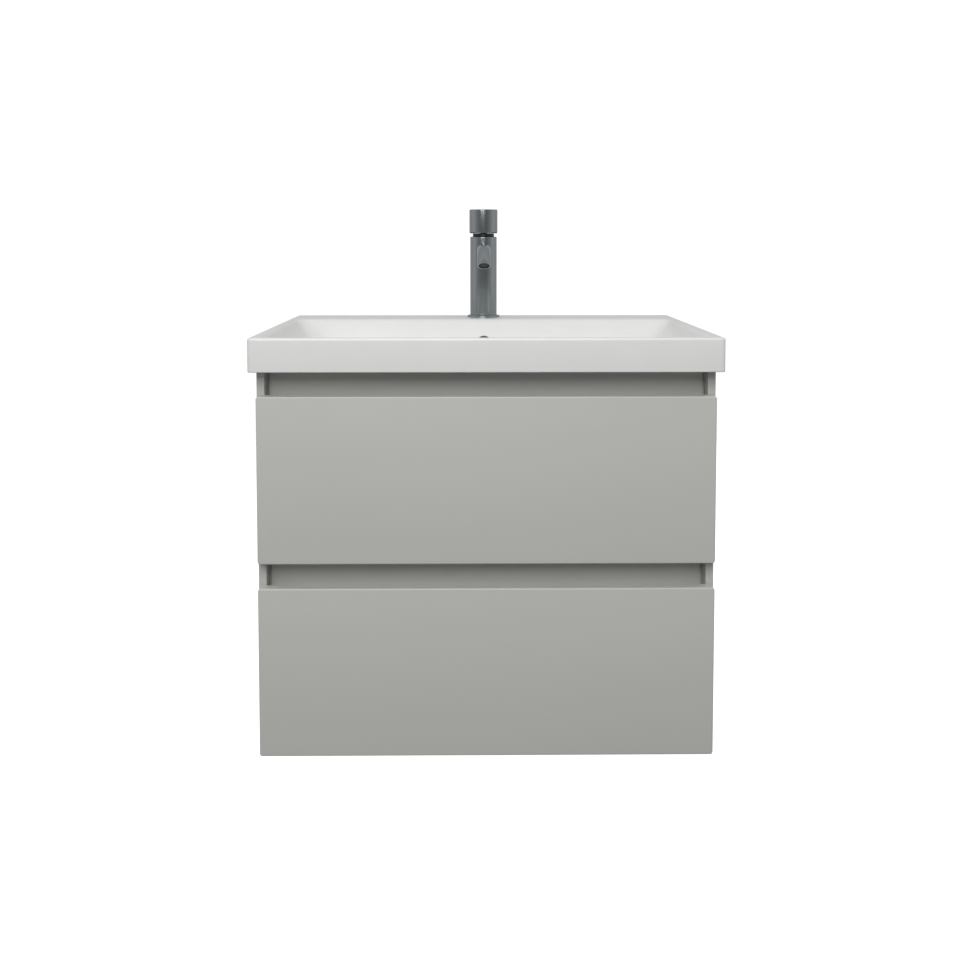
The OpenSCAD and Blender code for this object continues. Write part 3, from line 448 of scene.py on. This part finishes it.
for name, profile, body, node, slot in (
        ("tap_body_turned", tap_body_profile(), "root", "tap_body", "gunmetal_plating"),
        ("tap_knob_turned", knob_profile(), "knob", "tap_knob", "gunmetal_plating"),
        ("tap_base_ring_turned", base_ring_profile(), "root", "tap_base_ring", "gunmetal_plating"),
        ("cartridge_nut_turned", neck_profile(), "root", "cartridge_nut", "dark_brass")):
    make_piece(name, [turn(profile, tap_axis)], body, [node], slot, sharp=30)


# %% The bent spout and its outlet
SPOUT_R, BORE_R, BEND_R, BEND = 10.5, 7.9, 50.0, math.radians(58)
SPOUT_Z = RIM_Z + 108
BEND_Y = TAP_Y - 110 + BEND_R * math.sin(BEND)


def spout_path(count=30):
    """Centres and directions: straight forwards along -Y, then down an arc of the bend radius."""
    bend = np.linspace(0, BEND, count)
    y = np.concatenate([[TAP_Y - 12, TAP_Y - 21, TAP_Y - 45], BEND_Y - BEND_R * np.sin(bend)])
    z = np.concatenate([[SPOUT_Z] * 3, SPOUT_Z - BEND_R * (1 - np.cos(bend))])
    angle = np.concatenate([[0, 0, 0], bend])
    return y, z, angle


def tube(y, z, angle, radius, around=48):
    """Circles of the given radii, square to a path in the Y-Z plane."""
    a = np.linspace(0, 2 * math.pi, around, endpoint=False)[None, :]
    r = np.broadcast_to(np.asarray(radius, float), y.shape)[:, None]
    up_y, up_z = -np.sin(angle)[:, None], np.cos(angle)[:, None]
    return np.stack([r * np.cos(a), y[:, None] + r * np.sin(a) * up_y,
                     z[:, None] + r * np.sin(a) * up_z], -1)


def spout_surface(bulge=0.45, bore_rings=13):
    """The outside of the tube, a rounded lip, and the bore going back in.

    Across the lip a share s runs from 0 at the outside to 1 at the bore. The radius falls evenly with
    s, and the lip stands out by bulge sqrt(1 - (2s - 1)^2), which is half an ellipse.
    """
    y, z, angle = spout_path()
    share = np.array([0.12, 0.35, 0.65, 0.88])
    lip_r = SPOUT_R - (SPOUT_R - BORE_R) * share
    out = bulge * np.sqrt(1 - (2 * share - 1) ** 2) - bulge
    back = slice(-2, -2 - bore_rings, -1)
    ys = np.concatenate([y[:-1], y[-1] - np.cos(angle[-1]) * out, y[back]])
    zs = np.concatenate([z[:-1], z[-1] - np.sin(angle[-1]) * out, z[back]])
    angles = np.concatenate([angle[:-1], np.full(len(share), angle[-1]), angle[back]])
    radii = np.concatenate([np.full(len(y) - 1, SPOUT_R), lip_r, np.full(bore_rings, BORE_R)])
    return tube(ys, zs, angles, radii)


make_piece("tap_spout_bent", [join_grid(spout_surface() * MM, ends=(True, True))], "root",
           ["tap_spout"], "gunmetal_plating", sharp=40)


# %% [markdown]
# ## The waste and the trap
# The push plug has a slightly domed cap, and water runs off it to its rim. The trap's nuts and cup are
# moulded with upright ribs, so that wet hands can turn them, and the wall cover is a shallow dome. The
# ribs are a cosine wave on the outer radius only.

# %% Plug, nuts, cup and wall cover
def domed_plug():
    """The stem, then the cap: its top falls from the middle as z = top - 1.2 (r / edge)^2."""
    (_, _, z0), (r, _, z1) = corner_box("waste_plug")
    edge = r - 2.5
    across = np.linspace(edge, 0, 9)
    crown = np.column_stack([across, z1 - 1.2 * (across / edge) ** 2])
    foot = [(0, z0), (4, z0), (4, z1 - 5), (r - 2, z1 - 5), (r, z1 - 3.4), (r, z1 - 2.4)]
    return np.vstack([foot, crown])


def ribs(count, depth, beyond):
    """A ripple that takes depth (1 - cos(count a)) / 2 off every radius beyond a limit."""
    return lambda angle, radius: radius - np.where(
        radius > beyond, depth * (1 - np.cos(count * angle)) / 2, 0)


def nut_profile(height, thread_r, pipe_r, lip=4.0, r=27.0):
    """A union nut's section, closed on itself: out along the lip, up the ribs and down the bore."""
    loop = [(pipe_r, 0), (r - 2, 0), (r, 2), (r, height - 1.5), (r - 1.5, height),
            (thread_r, height), (thread_r, lip), (pipe_r, lip)]
    return soften(loop, [0.4, 0.8, 0.8, 0.6, 0.6, 0.4, 0.4, 0.4], 4)


def cup_profile(height, bore=26.0, r=31.0):
    """The trap's cup from axis to axis, over its rounded foot and back down to its floor."""
    return turned_profile(
        [(0, 0), (r - 4, 0), (r, 4), (r, height), (bore, height), (bore, 3), (0, 3)], 0.8)


def cover_profile(depth, bore=16.2, r=34.0):
    """The wall cover's section: a quarter wave of the cosine from its edge up to its hub."""
    t = np.linspace(0, 1, 14)
    dome = np.column_stack([r - (r - bore - 5) * t, 1.5 + (depth - 1.5) * np.sin(t * math.pi / 2)])
    return np.vstack([[(bore, 0), (r, 0)], dome, [(bore, depth)]])


outlet_z = float(sum(c[2] for c in corner_box("trap_outlet_pipe")) / 2)
inlet_nut, outlet_nut, cup, cover = (corner_box(n) for n in (
    "trap_inlet_nut", "trap_outlet_nut", "trap_cup", "wall_escutcheon"))
grip = ribs(36, 0.9, 26.5)
sideways = np.array([1, -1])
for name, shape, body, node, slot in (
        ("waste_plug_domed", turn(domed_plug(), (0, DRAIN_Y, 0)), "plug", "waste_plug",
         "gunmetal_plating"),
        ("trap_inlet_nut_ribbed",
         turn(nut_profile(inlet_nut[1][2] - inlet_nut[0][2], 21.2, 16.2),
              (0, DRAIN_Y, inlet_nut[0][2]), around=216, ripple=grip, hollow=True),
         "root", "trap_inlet_nut", "trap_plastic"),
        ("trap_outlet_nut_ribbed",
         turn(nut_profile(outlet_nut[1][1] - outlet_nut[0][1], 20.7, 16.2) * sideways,
              (0, outlet_nut[1][1], outlet_z), "y", 216, grip, True),
         "root", "trap_outlet_nut", "trap_plastic"),
        ("trap_cup_ribbed",
         turn(cup_profile(cup[1][2] - cup[0][2]), (0, DRAIN_Y, cup[0][2]), around=216,
              ripple=ribs(36, 0.9, 30.5)), "root", "trap_cup", "trap_plastic"),
        ("wall_cover_domed",
         turn(cover_profile(cover[1][1] - cover[0][1]) * sideways, (0, cover[1][1], outlet_z), "y",
              hollow=True), "root", "wall_escutcheon", "trap_plastic")):
    make_piece(name, [shape], body, [node], slot, sharp=32)


# %% [markdown]
# ## Colour and finish
# Paint and plastic colours are picked on screen as sRGB hex values, while the renderer mixes light in
# linear numbers, so one function turns one into the other. One small function adds a shader node with
# its settings and links. Patterns read Object coordinates, which here are metres in the room, so a
# pattern's scale is one over its real size.

# %% Shader helpers
def linear(hex_colour):
    """sRGB hex to linear RGBA: c / 12.92 below 0.04045, else ((c + 0.055) / 1.055) ^ 2.4."""
    c = np.array([int(hex_colour[k:k + 2], 16) / 255 for k in (0, 2, 4)])
    return (*np.where(c <= 0.04045, c / 12.92, ((c + 0.055) / 1.055) ** 2.4), 1.0)


def add(tree, kind, values=None, links=None, **settings):
    """Adds one shader node: its own settings, its sockets' constant values, and what feeds them."""
    made = tree.nodes.new(kind)
    for key, value in settings.items():
        setattr(made, key, value)
    for key, value in (values or {}).items():
        made.inputs[key].default_value = value
    for key, source in (links or {}).items():
        tree.links.new(source, made.inputs[key])
    return made


def new_finish(name, **values):
    """A material, its tree, its shader with constants on its sockets, and the coordinates."""
    material = bpy.data.materials.new(name)
    material.use_nodes = True
    tree = material.node_tree
    shader = tree.nodes["Principled BSDF"]
    for key, value in values.items():
        shader.inputs[key.replace("_", " ")].default_value = value
    place = add(tree, "ShaderNodeTexCoord").outputs["Object"]
    return material, tree, shader, place


def per_mm(size):
    """The pattern scale that makes a feature this many millimetres wide."""
    return 1 / (size * MM)


FINISHES = {}


# %% [markdown]
# Sprayed matt lacquer is a solid colour with a very slight orange peel, ripples of 1 to 3 mm that are
# a few hundredths deep. It gives the eye a soft, even face whose highlights are broad and dim.

# %% Matt lacquer
def grey_lacquer(name, light, dark, peel_mm, peel_depth, roughness):
    """Lacquer whose colour drifts slightly over hundreds of millimetres, with an orange-peel bump."""
    material, tree, shader, place = new_finish(name, Roughness=roughness, IOR=1.5)
    drift = add(tree, "ShaderNodeTexNoise", {"Scale": per_mm(180), "Detail": 3.0}, {"Vector": place})
    tone = add(tree, "ShaderNodeMix", {6: linear(light), 7: linear(dark)},
               {"Factor": drift.outputs["Fac"]}, data_type="RGBA")
    tree.links.new(tone.outputs[2], shader.inputs["Base Color"])
    peel = add(tree, "ShaderNodeTexNoise", {"Scale": per_mm(peel_mm), "Detail": 2.0}, {"Vector": place})
    bump = add(tree, "ShaderNodeBump", {"Strength": 0.35, "Distance": peel_depth * MM},
               {"Height": peel.outputs["Fac"]})
    tree.links.new(bump.outputs["Normal"], shader.inputs["Normal"])
    return material


FINISHES["lacquered_front"] = grey_lacquer(
    "matt_sprayed_lacquer", "c1c1bd", "bebeba", peel_mm=2.2, peel_depth=0.04, roughness=0.42)


# %% [markdown]
# The carcass boards are chipboard faced with melamine paper pressed against an embossed plate, which
# leaves fine pores. The eye sees a slightly drier, more even grey than the lacquer.

# %% Melamine-faced board
def melamine(name, light, dark, pore_mm, stretch):
    """Pressed paper with pores stretched along the board's grain direction, X."""
    material, tree, shader, place = new_finish(name, Roughness=0.5, IOR=1.52)
    drift = add(tree, "ShaderNodeTexNoise", {"Scale": per_mm(90), "Detail": 4.0}, {"Vector": place})
    tone = add(tree, "ShaderNodeMix", {6: linear(light), 7: linear(dark)},
               {"Factor": drift.outputs["Fac"]}, data_type="RGBA")
    tree.links.new(tone.outputs[2], shader.inputs["Base Color"])
    along = add(tree, "ShaderNodeMapping", {"Scale": (stretch, 1.0, 1.0)}, {"Vector": place})
    pores = add(tree, "ShaderNodeTexVoronoi", {"Scale": per_mm(pore_mm)},
                {"Vector": along.outputs["Vector"]})
    bump = add(tree, "ShaderNodeBump", {"Strength": 0.25, "Distance": 0.05 * MM},
               {"Height": pores.outputs["Distance"]})
    tree.links.new(bump.outputs["Normal"], shader.inputs["Normal"])
    return material


FINISHES["carcass_board"] = melamine("embossed_melamine_grey", "bdbdb9", "b9b9b5", 1.6, 0.5)
FINISHES["drawer_board"] = melamine("embossed_melamine_pale", "c9c9c5", "c2c2be", 1.8, 0.35)


# %% [markdown]
# The grip channels are extruded aluminium with a polyester powder coat, baked until the grains flow
# together. The coat keeps a fine grain of about a millimetre, and it is duller than the lacquer. Its
# grey is painted lighter than the fronts' grey, as painted light that lifts the shade inside the grip
# recesses.

# %% Powder coat
material, tree, shader, place = new_finish("powder_coat_lightened_for_shade", Roughness=0.55, IOR=1.5)
grain = add(tree, "ShaderNodeTexNoise", {"Scale": per_mm(1.2), "Detail": 3.0}, {"Vector": place})
# Painted light: both greys are lighter than the coat's real grey, to brighten the shaded grip recesses.
tone = add(tree, "ShaderNodeMix", {6: linear("d0d1cc"), 7: linear("cacbc6")},
           {"Factor": grain.outputs["Fac"]}, data_type="RGBA")
bump = add(tree, "ShaderNodeBump", {"Strength": 0.4, "Distance": 0.06 * MM},
           {"Height": grain.outputs["Fac"]})
tree.links.new(tone.outputs[2], shader.inputs["Base Color"])
tree.links.new(bump.outputs["Normal"], shader.inputs["Normal"])
FINISHES["channel_coating"] = material


# %% [markdown]
# Sanitary ware is vitreous china under a clear, glassy white glaze. The glaze gives a sharp clear
# reflection over a soft white body, and it undulates very gently over about 40 mm.

# %% Glazed ceramic
material, tree, shader, place = new_finish(
    "white_glazed_china", Roughness=0.32, IOR=1.5, Coat_Weight=0.15, Coat_Roughness=0.12)
wave = add(tree, "ShaderNodeTexNoise", {"Scale": per_mm(40), "Detail": 1.0}, {"Vector": place})
tone = add(tree, "ShaderNodeMix", {6: linear("e4e5e3"), 7: linear("e0e1df")},
           {"Factor": wave.outputs["Fac"]}, data_type="RGBA")
bump = add(tree, "ShaderNodeBump", {"Strength": 0.15, "Distance": 0.3 * MM},
           {"Height": wave.outputs["Fac"]})
tree.links.new(tone.outputs[2], shader.inputs["Base Color"])
tree.links.new(bump.outputs["Normal"], shader.inputs["Normal"])
FINISHES["glazed_ceramic"] = material


# %% [markdown]
# The tap's gunmetal finish is a dark metal film laid on polished brass in a vacuum. Fine turning lines
# run round it, too fine to show, so they are drawn about a millimetre apart and very shallow. The eye
# sees a dark, faintly blue-green metal with soft bright edges.

# %% Metals
def plated_metal(name, colours, roughness, line_mm, line_strength, stretch=(0.02, 0.02, 1.0)):
    """Metal with fine lines across Z and a roughness that varies a little from place to place."""
    material, tree, shader, place = new_finish(name, Metallic=1.0)
    lines_at = add(tree, "ShaderNodeMapping", {"Scale": stretch}, {"Vector": place})
    lines = add(tree, "ShaderNodeTexNoise", {"Scale": per_mm(line_mm), "Detail": 2.0},
                {"Vector": lines_at.outputs["Vector"]})
    patch = add(tree, "ShaderNodeTexNoise", {"Scale": per_mm(14), "Detail": 3.0}, {"Vector": place})
    tone = add(tree, "ShaderNodeMix", {6: linear(colours[0]), 7: linear(colours[1])},
               {"Factor": patch.outputs["Fac"]}, data_type="RGBA")
    dull = add(tree, "ShaderNodeMapRange", {"To Min": roughness - 0.04, "To Max": roughness + 0.04},
               {"Value": lines.outputs["Fac"]})
    bump = add(tree, "ShaderNodeBump", {"Strength": line_strength, "Distance": 0.02 * MM},
               {"Height": lines.outputs["Fac"]})
    tree.links.new(tone.outputs[2], shader.inputs["Base Color"])
    tree.links.new(dull.outputs["Result"], shader.inputs["Roughness"])
    tree.links.new(bump.outputs["Normal"], shader.inputs["Normal"])
    return material


FINISHES["gunmetal_plating"] = plated_metal(
    "gunmetal_vacuum_plating", ("8f9597", "898f91"), 0.18, 1.0, 0.04)
# Painted shade: the neck under the knob gets a near-black metal colour to stand in for the shadowed gap
# between knob and body.
FINISHES["dark_brass"] = plated_metal("brass_painted_shade_dark", ("3a3c3e", "303234"), 0.38, 0.8, 0.3)
FINISHES["nut_brass"] = plated_metal("machined_brass", ("c9ac6a", "bb9c58"), 0.28, 0.8, 0.4)
FINISHES["zinc_plated_steel"] = plated_metal(
    "zinc_plated_steel", ("c4c8cc", "b2b6ba"), 0.34, 2.5, 0.25, (1.0, 0.04, 1.0))
FINISHES["zinc_die_casting"] = plated_metal(
    "zinc_die_casting", ("a6a8aa", "929496"), 0.42, 0.9, 0.5, (1.0, 1.0, 1.0))


# %% [markdown]
# The hidden plastics and rubbers are moulded: polypropylene for the trap, acetal for the cartridge and
# the outlet insert, and EPDM rubber for the seals. A mould spark-eroded to a fine texture leaves a
# grain of well under a millimetre, drawn here a little coarser so that it shows.

# %% Plastics, rubber and wood
def moulded(name, light, dark, roughness, ior, grain_mm, depth):
    """A moulded surface: a slight drift of tone and a fine even grain."""
    material, tree, shader, place = new_finish(name, Roughness=roughness, IOR=ior)
    grain = add(tree, "ShaderNodeTexNoise", {"Scale": per_mm(grain_mm), "Detail": 3.0},
                {"Vector": place})
    drift = add(tree, "ShaderNodeTexNoise", {"Scale": per_mm(25), "Detail": 2.0}, {"Vector": place})
    tone = add(tree, "ShaderNodeMix", {6: linear(light), 7: linear(dark)},
               {"Factor": drift.outputs["Fac"]}, data_type="RGBA")
    bump = add(tree, "ShaderNodeBump", {"Strength": 0.3, "Distance": depth * MM},
               {"Height": grain.outputs["Fac"]})
    tree.links.new(tone.outputs[2], shader.inputs["Base Color"])
    tree.links.new(bump.outputs["Normal"], shader.inputs["Normal"])
    return material


FINISHES["trap_plastic"] = moulded("white_polypropylene", "f0f0ee", "e8e8e5", 0.3, 1.49, 1.0, 0.03)
FINISHES["aerator_plastic"] = moulded("black_acetal", "1c1d1f", "141516", 0.4, 1.48, 0.8, 0.05)
FINISHES["cartridge_plastic"] = moulded("grey_acetal", "8c8e90", "808284", 0.4, 1.48, 1.0, 0.04)
FINISHES["black_rubber"] = moulded("black_epdm_rubber", "232324", "1a1a1b", 0.7, 1.52, 0.9, 0.08)

material, tree, shader, place = new_finish("turned_beech", Roughness=0.6, IOR=1.5)
along = add(tree, "ShaderNodeMapping", {"Scale": (0.08, 1.0, 1.0)}, {"Vector": place})
fibre = add(tree, "ShaderNodeTexNoise", {"Scale": per_mm(0.9), "Detail": 4.0},
            {"Vector": along.outputs["Vector"]})
tone = add(tree, "ShaderNodeMix", {6: linear("d8b48a"), 7: linear("b98f62")},
           {"Factor": fibre.outputs["Fac"]}, data_type="RGBA")
tree.links.new(tone.outputs[2], shader.inputs["Base Color"])
FINISHES["beech_dowel"] = material
print("finishes:", ", ".join(sorted(m.name for m in FINISHES.values())))


# %% Give every piece its finish
def dress(objects):
    """Gives each piece the finish of its slot, which is its own or the name the model gave it."""
    for piece in objects:
        slot = piece.get("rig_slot") or piece.material_slots[0].material.name.split(".")[0]
        piece.data.materials.clear()
        piece.data.materials.append(FINISHES[slot])
    print(len(objects), "pieces have their finish")


# %% [markdown]
# ## The studio
# A pale floor lies below the cabinet, with the basin's rim 850 mm above it as in a real bathroom. In a
# packshot the background is pure white, but that much light from all round would wash the object out.
# So the floor and the room are white where the camera sees them, and give a dimmer light to the object.

# %% Floor
RIM_ABOVE_FLOOR = 850
FLOOR_Z = (RIM_Z - RIM_ABOVE_FLOOR) * MM


def floor_disc(radius=4.0, rings=24, around=96):
    """A flat disc: points (r cos a, r sin a, floor height) on rings that spread as the square."""
    r = radius * np.linspace(0.02, 1, rings)[:, None] ** 2
    a = np.linspace(0, 2 * math.pi, around, endpoint=False)[None, :]
    return np.stack([r * np.cos(a), r * np.sin(a), np.full((rings, around), FLOOR_Z)], -1)


mesh = bpy.data.meshes.new("studio_floor")
verts, faces = join_grid(floor_disc(), ends=(True, False))
mesh.from_pydata(verts.tolist(), [], [f[::-1] for f in faces])
floor = bpy.data.objects.new("studio_floor", mesh)
bpy.context.scene.collection.objects.link(floor)
material, tree, shader, place = new_finish(
    "pale_studio_floor", Roughness=0.9, Emission_Color=(1, 1, 1, 1), Emission_Strength=0.62)
speck = add(tree, "ShaderNodeTexNoise", {"Scale": 3.0}, {"Vector": place})
tone = add(tree, "ShaderNodeMix", {6: linear("f6f6f6"), 7: linear("f3f3f3")},
           {"Factor": speck.outputs["Fac"]}, data_type="RGBA")
tree.links.new(tone.outputs[2], shader.inputs["Base Color"])
bounce = add(tree, "ShaderNodeBsdfDiffuse", {"Color": linear("767676")})
seen_first = add(tree, "ShaderNodeLightPath")
pick = add(tree, "ShaderNodeMixShader", {}, {"Fac": seen_first.outputs["Is Camera Ray"]})
tree.links.new(bounce.outputs[0], pick.inputs[1])
tree.links.new(shader.outputs[0], pick.inputs[2])
tree.links.new(pick.outputs[0], tree.nodes["Material Output"].inputs["Surface"])
mesh.materials.append(material)
floor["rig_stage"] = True
print("the floor lies", round(-FLOOR_Z, 3), "m below the fixing height")


# %% [markdown]
# The room's light depends on the direction it comes from. It is dimmest from the front, so that the
# metal keeps a dark band down its middle, brightest from the sides, which gives the metal its light
# edges, and a little dimmer again from behind. One large soft light above the camera fills the fronts.

# %% Room
FRONT_LEVEL, SIDE_LEVEL, BACK_SHARE = 0.26, 0.76, 0.68
world = bpy.data.worlds.new("studio_room")
world.use_nodes = True
bpy.context.scene.world = world
tree = world.node_tree
background = tree.nodes["Background"]
seen = add(tree, "ShaderNodeBackground", {"Color": (1, 1, 1, 1), "Strength": 1.05})
ray = add(tree, "ShaderNodeLightPath")
choose = add(tree, "ShaderNodeMixShader", {}, {"Fac": ray.outputs["Is Camera Ray"]})
tree.links.new(background.outputs[0], choose.inputs[1])
tree.links.new(seen.outputs[0], choose.inputs[2])
tree.links.new(choose.outputs[0], tree.nodes["World Output"].inputs["Surface"])
toward = add(tree, "ShaderNodeTexCoord").outputs["Generated"]
depth = add(tree, "ShaderNodeSeparateXYZ", {}, {"Vector": toward})
rise = add(tree, "ShaderNodeMapRange",
           {"From Min": -0.92, "From Max": -0.1, "To Min": FRONT_LEVEL, "To Max": SIDE_LEVEL},
           {"Value": depth.outputs["Y"]})
fall = add(tree, "ShaderNodeMapRange",
           {"From Min": 0.0, "From Max": 0.9, "To Min": 1.0, "To Max": BACK_SHARE},
           {"Value": depth.outputs["Y"]})
level = add(tree, "ShaderNodeMath", {}, {0: rise.outputs[0], 1: fall.outputs[0]}, operation="MULTIPLY")
background.inputs["Color"].default_value = (1, 1, 1, 1)
tree.links.new(level.outputs[0], background.inputs["Strength"])


# %% Soft light
def soft_light(name, location, target, size, power):
    """A square area light that faces a point, all in metres and watts."""
    data = bpy.data.lights.new(name, "AREA")
    data.size, data.energy = size, power
    light = bpy.data.objects.new(name, data)
    light.location = location
    light.rotation_euler = (Vector(target) - Vector(location)).to_track_quat("-Z", "Y").to_euler()
    bpy.context.scene.collection.objects.link(light)


soft_light("softbox_front", (-0.3, -2.6, 1.4), target=(0, -0.3, -0.2), size=1.6, power=43)
dress(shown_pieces())
